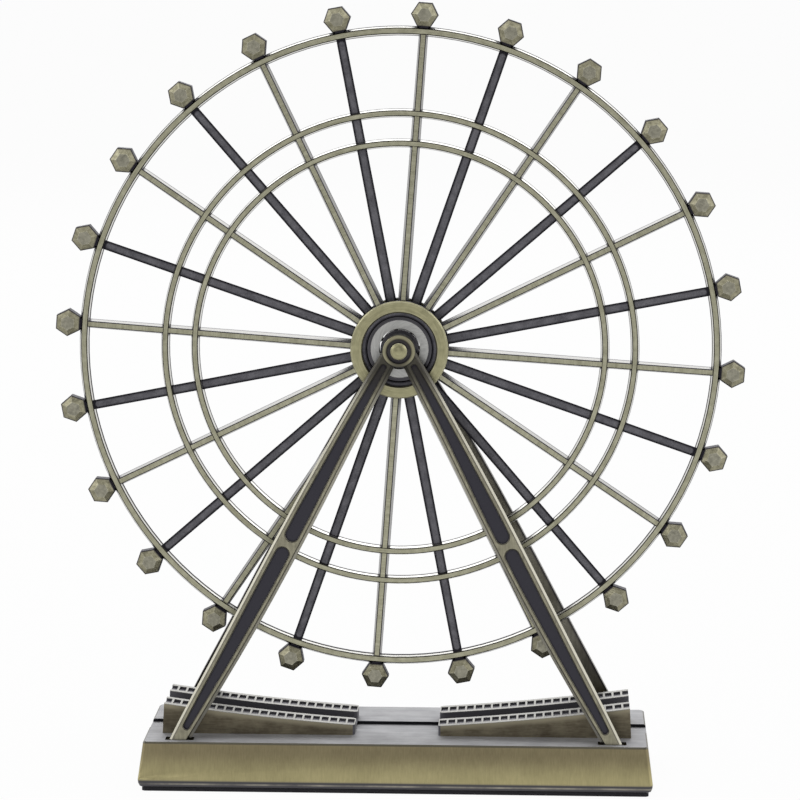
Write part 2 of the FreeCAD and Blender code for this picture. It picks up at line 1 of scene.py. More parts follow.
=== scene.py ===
"""Finishes and studio of a table-top ferris wheel.

Antique-brass castings turn on a steel ball bearing and stand on a foam pad.  Lengths are metres,
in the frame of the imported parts; the patterns on the pieces are written in millimetres.
"""
import bpy
import math
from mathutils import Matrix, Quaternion, Vector

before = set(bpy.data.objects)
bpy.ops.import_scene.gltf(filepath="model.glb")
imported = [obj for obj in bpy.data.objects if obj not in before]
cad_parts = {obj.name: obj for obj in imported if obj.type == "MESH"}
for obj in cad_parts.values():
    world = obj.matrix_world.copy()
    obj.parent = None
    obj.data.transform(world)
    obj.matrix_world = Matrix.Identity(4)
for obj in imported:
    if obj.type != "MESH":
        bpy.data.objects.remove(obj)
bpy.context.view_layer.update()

MM = 0.001
CABINS = ["cabin_%02d" % (number + 1) for number in range(24)]

# ---- measures of the studio -----------------------------------------------------------
CAMERA_PLACE = (0.03166, -0.90691, 0.20412)
CAMERA_AIM = (0.00007, 0.0, 0.0867)
CAMERA_ROLL = 0.26                  # degrees
CAMERA_LENS = 180.8
CAMERA_REACH = 100.0
FLOOR_HALF = 25.0
FLOOR_PAINT = 0.85                  # grey of the matt floor, which takes the shadow
FLOOR_GLOW = 0.96                   # share of the floor's white that is its own
TENT_FILL = 0.38                    # light that the white tent gives to matt surfaces
TENT_OPENING = 0.42                 # grey of the tent's open front, as metal mirrors it
TENT_OPENING_FROM = (-0.35, -0.8)   # Y of the direction where that grey starts and is full
TENT_CEILING = 0.5                  # grey of its ceiling
TENT_CEILING_FROM = (0.6, 0.9)      # Z of the direction where it starts and is full
# name, place, height that it is aimed at, width, height, radiance
SOFTBOXES = (
    ("left_softbox", (-1.2, -0.15, 0.9), 0.09, 0.9, 0.9, 1.35),
    ("right_softbox", (1.2, -0.15, 0.9), 0.09, 0.9, 0.9, 1.0),
    ("top_softbox", (0.0, -0.15, 1.5), 0.05, 1.4, 0.9, 0.95),
    ("back_softbox", (0.0, 1.3, 1.0), 0.1, 1.8, 0.9, 1.5),
    ("front_softbox", (-0.2, -1.8, 0.9), 0.06, 1.0, 0.6, 0.9),
)

# ---- where the finishes change, in millimetres -----------------------------------------
# A pair gives where a finish starts and where it is full.
HUB_Z = 98.67                       # height of the axle
MID_SIDE_LINE = (0.5, 0.7)           # distance from the wheel's plane where the line on a ring ends
CABIN_WAIST = (1.5, 1.75)           # distance from the wheel's plane where a cabin's waist ends

FRAME_FACE_AT_HUB = 7.0             # from the wheel's plane to the front of the legs
FRAME_LEAN = 0.1303                 # outward for each millimetre down
FRAME_NORMAL = (0.9916, 0.1292)     # outward and upward parts of the way that this front faces
FRAME_FRONT = (0.4, 0.15)           # depths below this front: the brushed face
FRAME_BORDER_PAINTED_HIGHLIGHT = (0.02, 0.08)         # the painted highlight along the border of that face
FRAME_BEVEL = (0.84, 0.76)          # the bevels
FRAME_EDGE = (0.15, 0.35)           # the polished part of the bevels
FRAME_BACK = (0.95, 1.1)            # the plain sides and back
FRAME_BOSS = (-0.3, -0.6)           # the boss, which stands proud
BOSS_RIM = (2.7, 3.25)              # distance from the axle's line over which the painted shade round the boss's recess fades out
HUB_SHADE = (4.0, 12.5)             # drop below the axle over which the painted shade on the legs fades from dark to bright
HUB_SHADE_LEAST = 0.1               # share of the legs' own tone at the boss

FOOT_PAINTED_GLINT_LOW = (1.5, 1.7)         # heights on the base: the painted highlight along its foot
FOOT_PAINTED_GLINT_HIGH = (2.1, 1.9)
FOOT_TOP = (2.3, 2.9)
# where the painted reflection darkens the sides upwards
SIDE_PAINTED_DARKENING = (3.0, 9.5)
TOP_CORNER = (10.7, 10.9)
GROOVE = (6.0, 5.0)                 # distance from the wheel's plane of the groove's walls, which carry painted shade

RAMP_START = 9.5                    # distance from the middle, and the run's height there
RAMP_START_Z = 13.55
RAMP_LENGTH = 43.8
RAMP_RISE = 2.93                    # height = start + rise * u + curve * u * u
RAMP_CURVE = 1.57
RAMP_TREADS = (0.12, 0.06)          # depths below the run: tops of the treads
RAMP_WALL = (0.3, 1.6)              # the dull part of the outer walls
RAMP_OUTSIDE = (11.0, 11.1)         # distance from the wheel's plane of those walls
RAMP_END = (52.5, 52.8)             # distance of the high end from the middle

CORNER_RAYS = 12                    # rays that feel for corners and edges
PATCH_SPREAD = 0.22                 # half the range that the patches' noise mostly stays in
STREAK_RANGE = (0.3, 0.7)           # the range that the streaks' noise mostly stays in
PATCH_SHARE = 0.5                   # of an uneven tone; streaks make the rest


def linear(hex_colour):
    """An sRGB hex value as linear red, green, blue and alpha."""
    channels = [int(hex_colour[i:i + 2], 16) / 255 for i in (1, 3, 5)]
    return [c / 12.92 if c <= 0.04045 else ((c + 0.055) / 1.055) ** 2.4 for c in channels] + [1.0]


def add(tree, kind, inputs=None, **settings):
    """Adds a node, sets it, and fills its inputs with values, sockets or other nodes."""
    node = tree.nodes.new(kind)
    for name, value in settings.items():
        setattr(node, name, value)
    for name, value in (inputs or {}).items():
        if isinstance(value, bpy.types.Node):
            value = next(output for output in value.outputs if output.enabled)
        if isinstance(value, bpy.types.NodeSocket):
            tree.links.new(value, node.inputs[name])
        else:
            node.inputs[name].default_value = value
    return node


# ---- where a point of the surface is ---------------------------------------------------
def millimetres(tree):
    """The point's place in millimetres."""
    place = add(tree, "ShaderNodeTexCoord")
    return add(tree, "ShaderNodeVectorMath", {0: place.outputs["Object"], "Scale": 1 / MM}, operation="SCALE")


def height_above_table(tree):
    return add(tree, "ShaderNodeSeparateXYZ", {0: millimetres(tree)}).outputs["Z"]


def distance_from_middle(tree, axis):
    """Distance along X from the middle of the ornament, or along Y from the wheel's plane."""
    place = add(tree, "ShaderNodeSeparateXYZ", {0: millimetres(tree)})
    return add(tree, "ShaderNodeMath", {0: place.outputs[axis]}, operation="ABSOLUTE")


def alignment(tree, axis):
    """1 where the surface faces along an axis, either way, and 0 where it is edge-on to it."""
    way = add(tree, "ShaderNodeTexCoord")
    parts = add(tree, "ShaderNodeSeparateXYZ", {0: way.outputs["Normal"]})
    return add(tree, "ShaderNodeMath", {0: parts.outputs[axis]}, operation="ABSOLUTE")


def about_axle(tree):
    """Distance from the axle's line, place along it, and length of arc round it."""
    place = add(tree, "ShaderNodeSeparateXYZ", {0: millimetres(tree)})
    height = add(tree, "ShaderNodeMath", {0: place.outputs["Z"], 1: HUB_Z}, operation="SUBTRACT")
    flat = add(tree, "ShaderNodeCombineXYZ", {0: place.outputs["X"], 2: height})
    radius = add(tree, "ShaderNodeVectorMath", {0: flat}, operation="LENGTH").outputs["Value"]
    angle = add(tree, "ShaderNodeMath", {0: height, 1: place.outputs["X"]}, operation="ARCTAN2")
    arc = add(tree, "ShaderNodeMath", {0: angle, 1: radius}, operation="MULTIPLY")
    return radius, place.outputs["Y"], arc


# ---- masks and patterns, from 0 to 1 ---------------------------------------------------
def step(tree, value, none, full, start=0.0, end=1.0):
    """A smooth change from start to end while value goes from none to full, up or down."""
    return add(tree, "ShaderNodeMapRange", {0: value, 1: none, 2: full, 3: start, 4: end},
               interpolation_type="SMOOTHSTEP")


def product(tree, *masks):
    """The product of several masks: where they all hold."""
    shared = masks[0]
    for mask in masks[1:]:
        shared = add(tree, "ShaderNodeMath", {0: shared, 1: mask}, operation="MULTIPLY")
    return shared


def facing(tree, axis, none, full):
    """Where the surface faces along an axis, either way; none and full are cosines of the angle to it."""
    return step(tree, alignment(tree, axis), none, full)


def openness(tree, reach, none, full):
    """0 in corners and pockets and where parts meet, felt for over reach millimetres; 1 in the open.

    It marks the oxide that no brush reaches, and painted shade where parts meet.
    """
    light = add(tree, "ShaderNodeAmbientOcclusion", {"Distance": reach * MM}, samples=CORNER_RAYS)
    return step(tree, light.outputs["AO"], none, full)


def worn_edge(tree, reach, full, none):
    """1 along outer edges, felt for over reach millimetres, which are rubbed through first."""
    inside = add(tree, "ShaderNodeAmbientOcclusion", {"Distance": reach * MM}, samples=CORNER_RAYS,
                 only_local=True, inside=True)
    return step(tree, inside.outputs["AO"], none, full)


def mottling(tree, size, contrast):
    """Uneven plating: soft patches of the given size in millimetres."""
    patches = add(tree, "ShaderNodeTexNoise", {"Vector": millimetres(tree), "Scale": 1 / size,
                                               "Detail": 4.0, "Roughness": 0.6})
    spread = PATCH_SPREAD / contrast
    return add(tree, "ShaderNodeMapRange", {0: patches, 1: 0.5 - spread, 2: 0.5 + spread})


def streaks(tree, place, spacing):
    """Fine marks whose grain is spacing millimetres along the three parts of place."""
    grain = add(tree, "ShaderNodeVectorMath", {0: place, 1: [1 / s for s in spacing]}, operation="MULTIPLY")
    marks = add(tree, "ShaderNodeTexNoise", {"Vector": grain, "Scale": 1.0, "Detail": 3.0, "Roughness": 0.65})
    return add(tree, "ShaderNodeMapRange", {0: marks, 1: STREAK_RANGE[0], 2: STREAK_RANGE[1]})


def scratches(tree, spacing):
    """Marks of a straight brush; the longest spacing is the way that it ran."""
    return streaks(tree, millimetres(tree), spacing)


def turning_marks(tree, across, along):
    """Marks that run round the axle, across millimetres apart and along millimetres long."""
    radius, depth, arc = about_axle(tree)
    place = add(tree, "ShaderNodeCombineXYZ", {0: radius, 1: depth, 2: arc})
    return streaks(tree, place, (across, across, along))


# ---- metal ----------------------------------------------------------------------------
def new_finish(name):
    material = bpy.data.materials.new(name)
    material.use_nodes = True
    material.node_tree.nodes.clear()
    return material, material.node_tree


def lay_on(tree, base, coat, cover):
    """coat over base, as far as cover goes; each is a hex value or a colour made before."""
    base, coat = [linear(part) if isinstance(part, str) else part for part in (base, coat)]
    return add(tree, "ShaderNodeMix", {0: cover, 6: base, 7: coat}, data_type="RGBA")


def two_tone(tree, tones, share):
    """Tones are a bright and a dull hex value; share says how far the bright one goes."""
    bright, dull = tones
    return lay_on(tree, dull, bright, share)


def uneven(tree, tones, marks, patches):
    """A bright and a dull tone of one metal, in streaks and patches."""
    share = add(tree, "ShaderNodeMix", {0: PATCH_SHARE, 2: marks, 3: patches}, data_type="FLOAT")
    return two_tone(tree, tones, share)


def roughness_by(tree, mask, off, on):
    """Roughness that goes from off to on with a mask."""
    return step(tree, mask, 0.0, 1.0, off, on)


def metal_surface(tree, colour, roughness, marks, mark_depth):
    """Bare metal, with the marks cut mark_depth millimetres deep."""
    relief = add(tree, "ShaderNodeBump", {"Height": marks, "Distance": mark_depth * MM, "Strength": 1.0})
    metal = add(tree, "ShaderNodeBsdfPrincipled", {"Base Color": colour, "Metallic": 1.0,
                                                   "Roughness": roughness, "Normal": relief})
    add(tree, "ShaderNodeOutputMaterial", {"Surface": metal})


# ---- antique brass --------------------------------------------------------------------
# Zinc castings, brass plated and blackened in an oxide bath, then relieved: rubbed on a brush
# wheel.  Faces that the wheel reaches are bare and streaked, the slopes beside them and all
# corners keep the black, which is also laid as painted shade where parts meet, and outer edges
# are rubbed through to pale metal.
# A pair of tones is the bright and the dull one.
RUBBED_BRASS = ("#BAB8A1", "#8C8A74")
WARM_BRASS = ("#B5B18D", "#848165")
PALE_RIM = "#E2DFD0"
# black of the oxide, also used as painted shade where parts meet
BLACK_OXIDE_AND_PAINTED_SHADE = "#35333A"
BROWN_OXIDE = "#33312D"
RING_SIDE = "#DCDBD6"
SPOKE_SIDE = "#8A8986"
MID_SIDE_BLACK = "#2A292D"
RUBBED_ROUGHNESS = 0.34
BRUSHED_ROUGHNESS = 0.38
POLISHED_ROUGHNESS = 0.28
AS_PLATED_ROUGHNESS = 0.3
OXIDE_ROUGHNESS = 0.5
BASE_TOP_ROUGHNESS = 0.68
BELT_ROUGHNESS = 0.52


def wheel_casting(name, corner, side_tone, mid_side_line=False):
    """Relieved brass, brushed round the axle: streaked faces, corners dark with oxide and painted shade,
    sides left as plated.

    A ring is widest at the middle of its sides, and a black line is laid along there.
    """
    material, tree = new_finish(name)
    marks = turning_marks(tree, across=0.35, along=6.0)
    face = facing(tree, "Y", none=0.84, full=0.95)
    side = step(tree, alignment(tree, "Y"), none=0.6, full=0.42)
    brass = uneven(tree, RUBBED_BRASS, marks, mottling(tree, size=1.6, contrast=1.2))
    colour = lay_on(tree, corner, brass, face)
    # oxide in corners, and painted shade where parts meet, such as the spokes' ends at the rim and the flange
    colour = lay_on(tree, BLACK_OXIDE_AND_PAINTED_SHADE, colour, openness(tree, reach=1.3, none=0.3, full=0.62))
    plated = lay_on(tree, side_tone, corner, worn_edge(tree, reach=0.8, full=0.6, none=0.92))
    if mid_side_line:
        # a black line along the middle of a ring's sides
        off_line = step(tree, distance_from_middle(tree, "Y"), *MID_SIDE_LINE)
        plated = lay_on(tree, MID_SIDE_BLACK, plated, off_line)
    colour = lay_on(tree, colour, plated, side)
    roughness = roughness_by(tree, side, RUBBED_ROUGHNESS, AS_PLATED_ROUGHNESS)
    metal_surface(tree, colour, roughness, product(tree, marks, face), mark_depth=0.008)
    return material


def hub_casting():
    """Turned antique brass: the faces are cut on a lathe, so they show rings and a warmer tone.

    The rims are worn pale, and the recess keeps the black of the oxide, with painted shade where the hub
    meets other parts.
    """
    material, tree = new_finish("turned_antique_brass")
    marks = turning_marks(tree, across=0.3, along=5.0)
    brass = uneven(tree, WARM_BRASS, marks, mottling(tree, size=1.6, contrast=1.0))
    brass = lay_on(tree, brass, PALE_RIM, worn_edge(tree, reach=0.3, full=0.6, none=0.95))
    # bare where the brush reaches the faces; elsewhere oxide, and painted shade where parts meet
    rubbed_and_unshaded = product(tree, facing(tree, "Y", none=0.3, full=0.7),
                     openness(tree, reach=2.0, none=0.35, full=0.7))
    colour = lay_on(tree, BLACK_OXIDE_AND_PAINTED_SHADE, brass, rubbed_and_unshaded)
    roughness = roughness_by(tree, rubbed_and_unshaded, OXIDE_ROUGHNESS, RUBBED_ROUGHNESS)
    metal_surface(tree, colour, roughness, marks, mark_depth=0.008)
    return material


CABIN_FACETS = ("#A8A48C", "#656251")
CABIN_FRONT = ("#ABA897", "#78766A")
CABIN_RIDGE = "#D3D0BF"


def cabin_casting():
    """Tumbled antique brass: small facets, rubbed by loose chips and not by a brush.

    So they are blotched and not streaked, the flat front is greyer, the ridges are pale, the
    waist and the corners keep the black, and the neck at the rim carries painted shade.
    """
    material, tree = new_finish("faceted_antique_brass")
    grain = scratches(tree, spacing=(0.8, 0.8, 0.8))
    brass = uneven(tree, CABIN_FACETS, grain, mottling(tree, size=1.3, contrast=1.2))
    front = uneven(tree, CABIN_FRONT, grain, mottling(tree, size=1.0, contrast=1.2))
    brass = lay_on(tree, brass, front, facing(tree, "Y", none=0.93, full=0.98))
    brass = lay_on(tree, brass, CABIN_RIDGE, worn_edge(tree, reach=0.3, full=0.72, none=0.94))
    off_waist = step(tree, distance_from_middle(tree, "Y"), *CABIN_WAIST)
    # the waist and the corners keep the oxide; the neck at the rim gets painted shade
    rubbed_and_unshaded = product(tree, off_waist, openness(tree, reach=2.6, none=0.3, full=0.75))
    colour = lay_on(tree, BLACK_OXIDE_AND_PAINTED_SHADE, brass, rubbed_and_unshaded)
    roughness = roughness_by(tree, rubbed_and_unshaded, OXIDE_ROUGHNESS, BRUSHED_ROUGHNESS)
    metal_surface(tree, colour, roughness, grain, mark_depth=0.012)
    return material


# the border colour is a painted highlight; the colours for the legs by the hub and inside the boss are
# painted shade
LEG_FACE = ("#B6B29A", "#848070")
LEG_BACK = ("#8E8B80", "#6A675D")
LEG_BORDER_PAINTED_HIGHLIGHT = "#C9C6B6"
LEG_BEVEL = "#5A574E"
LEG_EDGE = "#A8A598"
LEG_PANEL = "#46454C"
LEG_IN_SHADE = "#3E3C38"
BOSS_PAINTED_SHADE = "#403C35"
BOSS_OUTSIDE = "#969279"


def depth_below_frame_front(tree):
    """Millimetres below the leaning front of the A-frames' legs."""
    at_table = FRAME_FACE_AT_HUB + FRAME_LEAN * HUB_Z
    front = add(tree, "ShaderNodeMath", {0: height_above_table(tree), 1: -FRAME_LEAN, 2: at_table},
                operation="MULTIPLY_ADD")
    return add(tree, "ShaderNodeMath", {0: front, 1: distance_from_middle(tree, "Y")}, operation="SUBTRACT")


def flatness_to_frame_front(tree):
    """Cosine of the angle between the surface and that front."""
    way = add(tree, "ShaderNodeTexCoord")
    upward = add(tree, "ShaderNodeSeparateXYZ", {0: way.outputs["Normal"]}).outputs["Z"]
    outward = add(tree, "ShaderNodeMath", {0: alignment(tree, "Y"), 1: FRAME_NORMAL[0]}, operation="MULTIPLY")
    return add(tree, "ShaderNodeMath", {0: upward, 1: FRAME_NORMAL[1], 2: outward}, operation="MULTIPLY_ADD")


def frame_casting():
    """Brushed antique brass: each leg is brushed along its length, and its outer bevels polished.

    The faces are streaked, with a painted highlight along their border, the panels sunk in them
    keep the black, the sides and back are plain with dark edges, and the legs are painted dark by
    the hub and round the boss's recess, as painted shade.
    """
    material, tree = new_finish("brushed_antique_brass")
    marks = scratches(tree, spacing=(0.5, 2.0, 5.0))
    depth = depth_below_frame_front(tree)
    flatness = flatness_to_frame_front(tree)
    face = product(tree, step(tree, flatness, none=0.86, full=0.95), step(tree, depth, *FRAME_FRONT))
    sloping = product(tree, step(tree, flatness, none=0.45, full=0.6),
                      step(tree, flatness, none=0.9, full=0.8))
    bevel = product(tree, sloping, step(tree, depth, *FRAME_BEVEL))
    edge = product(tree, bevel, step(tree, depth, *FRAME_EDGE))
    brass = uneven(tree, LEG_FACE, marks, mottling(tree, size=1.8, contrast=1.2))
    # painted highlight along the border of the face
    brass = lay_on(tree, brass, LEG_BORDER_PAINTED_HIGHLIGHT, step(tree, depth, *FRAME_BORDER_PAINTED_HIGHLIGHT))
    back = uneven(tree, LEG_BACK, marks, mottling(tree, size=3.0, contrast=1.2))
    back = lay_on(tree, back, BLACK_OXIDE_AND_PAINTED_SHADE, worn_edge(tree, reach=1.0, full=0.5, none=0.95))
    colour = lay_on(tree, LEG_PANEL, brass, face)
    colour = lay_on(tree, colour, LEG_BEVEL, bevel)
    colour = lay_on(tree, colour, LEG_EDGE, edge)
    # painted shade: the legs are painted darker towards the hub
    drop = add(tree, "ShaderNodeMath", {0: HUB_Z, 1: height_above_table(tree)}, operation="SUBTRACT")
    out_of_shade = step(tree, drop, *HUB_SHADE, start=HUB_SHADE_LEAST)
    colour = lay_on(tree, LEG_IN_SHADE, colour, out_of_shade)
    # painted shade round the boss's recess, fading out from it
    radius = about_axle(tree)[0]
    boss_with_painted_shade = lay_on(tree, BOSS_PAINTED_SHADE, BOSS_OUTSIDE, step(tree, radius, *BOSS_RIM))
    colour = lay_on(tree, colour, boss_with_painted_shade, step(tree, depth, *FRAME_BOSS))
    colour = lay_on(tree, colour, back, step(tree, depth, *FRAME_BACK))
    # oxide in corners, and painted shade where the frames meet other parts
    colour = lay_on(tree, BLACK_OXIDE_AND_PAINTED_SHADE, colour, openness(tree, reach=1.2, none=0.35, full=0.72))
    roughness = roughness_by(tree, edge, BRUSHED_ROUGHNESS, POLISHED_ROUGHNESS)
    metal_surface(tree, colour, roughness, marks, mark_depth=0.008)
    return material


# the two side tones are a painted reflection, the glint a painted highlight, the groove colour painted shade
BASE_SIDE_PAINTED_LIT = ("#C3B98B", "#A89F76")
BASE_SIDE_PAINTED_DIM = ("#958B6C", "#7D7359")
BASE_TOP = ("#BDBDBF", "#8F8F92")
BASE_FOOT = "#4C4B4E"
BASE_PAINTED_GLINT = "#9A968A"
BASE_TOP_CORNER = "#57544A"
BASE_GROOVE_PAINTED_SHADE = "#2A2A2D"


def base_casting():
    """Brass plating, brushed upright on the sides and lengthwise on top.

    On top it is rubbed almost through, which leaves it silvery and matt.  The sides are yellower,
    and painted lighter low down and darker upwards as a painted reflection.  The foot and a band
    under the top corner are darker, the groove's walls carry painted shade, and a painted
    highlight runs along the foot.
    """
    material, tree = new_finish("brushed_and_polished_base")
    top = facing(tree, "Z", none=0.85, full=0.97)
    height = height_above_table(tree)
    upright = scratches(tree, spacing=(0.3, 0.3, 9.0))
    lengthwise = scratches(tree, spacing=(14.0, 0.5, 0.5))
    patches = mottling(tree, size=6.0, contrast=1.0)
    # painted reflection: the sides are painted lighter low down and darker upwards
    side_painted_lit = uneven(tree, BASE_SIDE_PAINTED_LIT, upright, patches)
    side_painted_dim = uneven(tree, BASE_SIDE_PAINTED_DIM, upright, patches)
    side = lay_on(tree, side_painted_lit, side_painted_dim, step(tree, height, *SIDE_PAINTED_DARKENING))
    side = lay_on(tree, BASE_FOOT, side, step(tree, height, *FOOT_TOP))
    # painted highlight: a pale band along the foot
    painted_glint = product(tree, step(tree, height, *FOOT_PAINTED_GLINT_LOW), step(tree, height, *FOOT_PAINTED_GLINT_HIGH), patches)
    side = lay_on(tree, side, BASE_PAINTED_GLINT, painted_glint)
    side = lay_on(tree, side, BASE_TOP_CORNER, step(tree, height, *TOP_CORNER))
    colour = lay_on(tree, side, uneven(tree, BASE_TOP, lengthwise, patches), top)
    # painted shade on the groove's walls
    groove_painted_shade = product(tree, facing(tree, "Y", none=0.8, full=0.95),
                     step(tree, distance_from_middle(tree, "Y"), *GROOVE))
    colour = lay_on(tree, colour, BASE_GROOVE_PAINTED_SHADE, groove_painted_shade)
    # oxide in corners, and painted shade where the base meets other parts
    colour = lay_on(tree, BLACK_OXIDE_AND_PAINTED_SHADE, colour, openness(tree, reach=0.6, none=0.3, full=0.6))
    marks = add(tree, "ShaderNodeMix", {0: top, 2: upright, 3: lengthwise}, data_type="FLOAT")
    roughness = roughness_by(tree, top, BRUSHED_ROUGHNESS, BASE_TOP_ROUGHNESS)
    metal_surface(tree, colour, roughness, marks, mark_depth=0.006)
    return material


RAMP_WALL_TONES = ("#8C8470", "#5A5345")
RAMP_WALL_LIP = "#9A937E"
RAMP_TREAD = "#A3A29E"
RAMP_CHANNEL = "#69686D"
RAMP_HIGH_END = "#8C866E"


def ramp_casting():
    """Brass plating, blackened and then rubbed on a belt, which only reaches the tops of the treads.

    Channel and pockets are dark, and the outer walls dull and blotched, paler at their upper edge.
    """
    material, tree = new_finish("polished_and_blackened_ramp")
    marks = scratches(tree, spacing=(3.0, 3.0, 0.4))
    share = add(tree, "ShaderNodeMapRange", {0: distance_from_middle(tree, "X"), 1: RAMP_START,
                                             2: RAMP_START + RAMP_LENGTH})
    rise = add(tree, "ShaderNodeMath", {0: share, 1: RAMP_CURVE, 2: RAMP_RISE}, operation="MULTIPLY_ADD")
    run = add(tree, "ShaderNodeMath", {0: share, 1: rise, 2: RAMP_START_Z}, operation="MULTIPLY_ADD")
    depth = add(tree, "ShaderNodeMath", {0: run, 1: height_above_table(tree)}, operation="SUBTRACT")
    wall = uneven(tree, RAMP_WALL_TONES, marks, mottling(tree, size=4.0, contrast=1.6))
    wall = lay_on(tree, RAMP_WALL_LIP, wall, step(tree, depth, *RAMP_WALL))
    colour = lay_on(tree, RAMP_CHANNEL, wall, step(tree, distance_from_middle(tree, "Y"), *RAMP_OUTSIDE))
    colour = lay_on(tree, colour, RAMP_TREAD, step(tree, depth, *RAMP_TREADS))
    high_end = product(tree, facing(tree, "X", none=0.8, full=0.95),
                       step(tree, distance_from_middle(tree, "X"), *RAMP_END))
    colour = lay_on(tree, colour, RAMP_HIGH_END, high_end)
    metal_surface(tree, colour, BELT_ROUGHNESS, marks, mark_depth=0.006)
    return material


# ---- other materials ------------------------------------------------------------------
BRONZE_FACE = ("#79787D", "#4E4D52")
BRONZE_EDGE = "#252429"
BRONZE_SIDE = "#2D2B30"
# painted shade in the bronze's corners
BRONZE_CORNER_PAINTED_SHADE = "#242226"
BRONZE_ROUGHNESS = 0.46


def blackened_bronze():
    """Bronze plating, blackened and left matt: grainy, near black, greyer along the middle of faces."""
    material, tree = new_finish("blackened_bronze")
    grain = scratches(tree, spacing=(0.3, 0.3, 0.3))
    face = uneven(tree, BRONZE_FACE, grain, mottling(tree, size=2.5, contrast=1.4))
    face = lay_on(tree, face, BRONZE_EDGE, worn_edge(tree, reach=0.8, full=0.6, none=0.92))
    colour = lay_on(tree, BRONZE_SIDE, face, facing(tree, "Y", none=0.8, full=0.98))
    # painted shade in corners and where the rear spokes and barrel meet other parts
    colour = lay_on(tree, BRONZE_CORNER_PAINTED_SHADE, colour, openness(tree, reach=1.3, none=0.3, full=0.62))
    metal_surface(tree, colour, BRONZE_ROUGHNESS, grain, mark_depth=0.012)
    return material


# painted reflection: dark race faces; painted highlight: bright chamfers
RACE_FACE_PAINTED_DARK = ("#535256", "#3A393C")
RACE_CHAMFER_PAINTED_HIGHLIGHT = "#C6C5C4"
RACE_ROUGHNESS = 0.24
SHIELD_TONES = ("#BEBEBB", "#A3A3A1")
SHIELD_ROUGHNESS = 0.38
ZINC_TONES = ("#A2A2A5", "#77777A")
ZINC_ROUGHNESS = 0.35
# painted shade in the steel's corners
STEEL_CORNER_PAINTED_SHADE = "#28272A"


def race_steel():
    """Bearing steel, ground round the axle: faces painted dark as a painted reflection, and chamfers painted
    bright as a painted highlight.
    """
    material, tree = new_finish("ground_race_steel")
    marks = turning_marks(tree, across=0.2, along=8.0)
    # painted reflection on the faces, painted highlight on the rest
    face = two_tone(tree, RACE_FACE_PAINTED_DARK, marks)
    colour = lay_on(tree, RACE_CHAMFER_PAINTED_HIGHLIGHT, face, facing(tree, "Y", none=0.8, full=0.95))
    metal_surface(tree, colour, RACE_ROUGHNESS, marks, mark_depth=0.004)
    return material


def steel_surface(tree, tones, marks, roughness, mark_depth):
    """Steel in two tones along its marks, with painted shade in its corners and where it meets other parts.
    """
    colour = two_tone(tree, tones, marks)
    # painted shade in corners and where parts meet
    colour = lay_on(tree, STEEL_CORNER_PAINTED_SHADE, colour, openness(tree, reach=0.9, none=0.35, full=0.75))
    metal_surface(tree, colour, roughness, marks, mark_depth)


def shield_steel():
    """Stainless sheet, pressed: satin, with short, faint marks."""
    material, tree = new_finish("pressed_shield_steel")
    marks = turning_marks(tree, across=0.9, along=0.5)
    steel_surface(tree, SHIELD_TONES, marks, SHIELD_ROUGHNESS, mark_depth=0.002)
    return material


def plated_steel():
    """Mild steel, turned or pressed and then zinc plated: an even grey with a fine grain."""
    material, tree = new_finish("plated_steel")
    grain = scratches(tree, spacing=(0.6, 0.6, 0.6))
    steel_surface(tree, ZINC_TONES, grain, ZINC_ROUGHNESS, mark_depth=0.006)
    return material


FOAM_TONES = ("#2E2D33", "#1C1B20")
FOAM_ROUGHNESS = 0.9
FOAM_CELL = 0.3                     # width and depth of a cell, mm
FOAM_CELL_DEPTH = 0.08


def foam():
    """Closed-cell foam sheet, cut to size: matt black, with its cells cut open at the edges."""
    material, tree = new_finish("closed_cell_foam")
    cells = add(tree, "ShaderNodeTexVoronoi", {"Vector": millimetres(tree), "Scale": 1 / FOAM_CELL})
    relief = add(tree, "ShaderNodeBump", {"Height": cells, "Distance": FOAM_CELL_DEPTH * MM, "Strength": 0.6})
    colour = two_tone(tree, FOAM_TONES, cells)
    matt = add(tree, "ShaderNodeBsdfPrincipled", {"Base Color": colour, "Roughness": FOAM_ROUGHNESS,
                                                  "Normal": relief})
    add(tree, "ShaderNodeOutputMaterial", {"Surface": matt})
    return material


def dress(material, *names):
    """Gives the named parts a finish."""
    for name in names:
        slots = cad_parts[name].data.materials
        slots.clear()
        slots.append(material)


# ---- studio ---------------------------------------------------------------------------
def aim(thing, place, target, roll=0.0):
    """Puts a camera or lamp in its place, pointing at the target."""
    thing.location = place
    thing.rotation_mode = "QUATERNION"
    look = (Vector(target) - Vector(place)).to_track_quat("-Z", "Y")
    thing.rotation_quaternion = look @ Quaternion((0.0, 0.0, 1.0), math.radians(roll))
    bpy.context.scene.collection.objects.link(thing)


def set_camera():
    camera = bpy.data.cameras.new("camera")
    camera.lens = CAMERA_LENS
    camera.clip_end = CAMERA_REACH
    camera_object = bpy.data.objects.new("camera", camera)
    aim(camera_object, CAMERA_PLACE, CAMERA_AIM, CAMERA_ROLL)
    bpy.context.scene.camera = camera_object


def seen_directly(tree):
    """1 for rays that show the picture's white: straight, mirrored or through glass."""
    path = add(tree, "ShaderNodeLightPath")
    either = add(tree, "ShaderNodeMath", {0: path.outputs["Is Camera Ray"], 1: path.outputs["Is Glossy Ray"]},
                 operation="MAXIMUM")
    return add(tree, "ShaderNodeMath", {0: either, 1: path.outputs["Is Transmission Ray"]},
               operation="MAXIMUM")


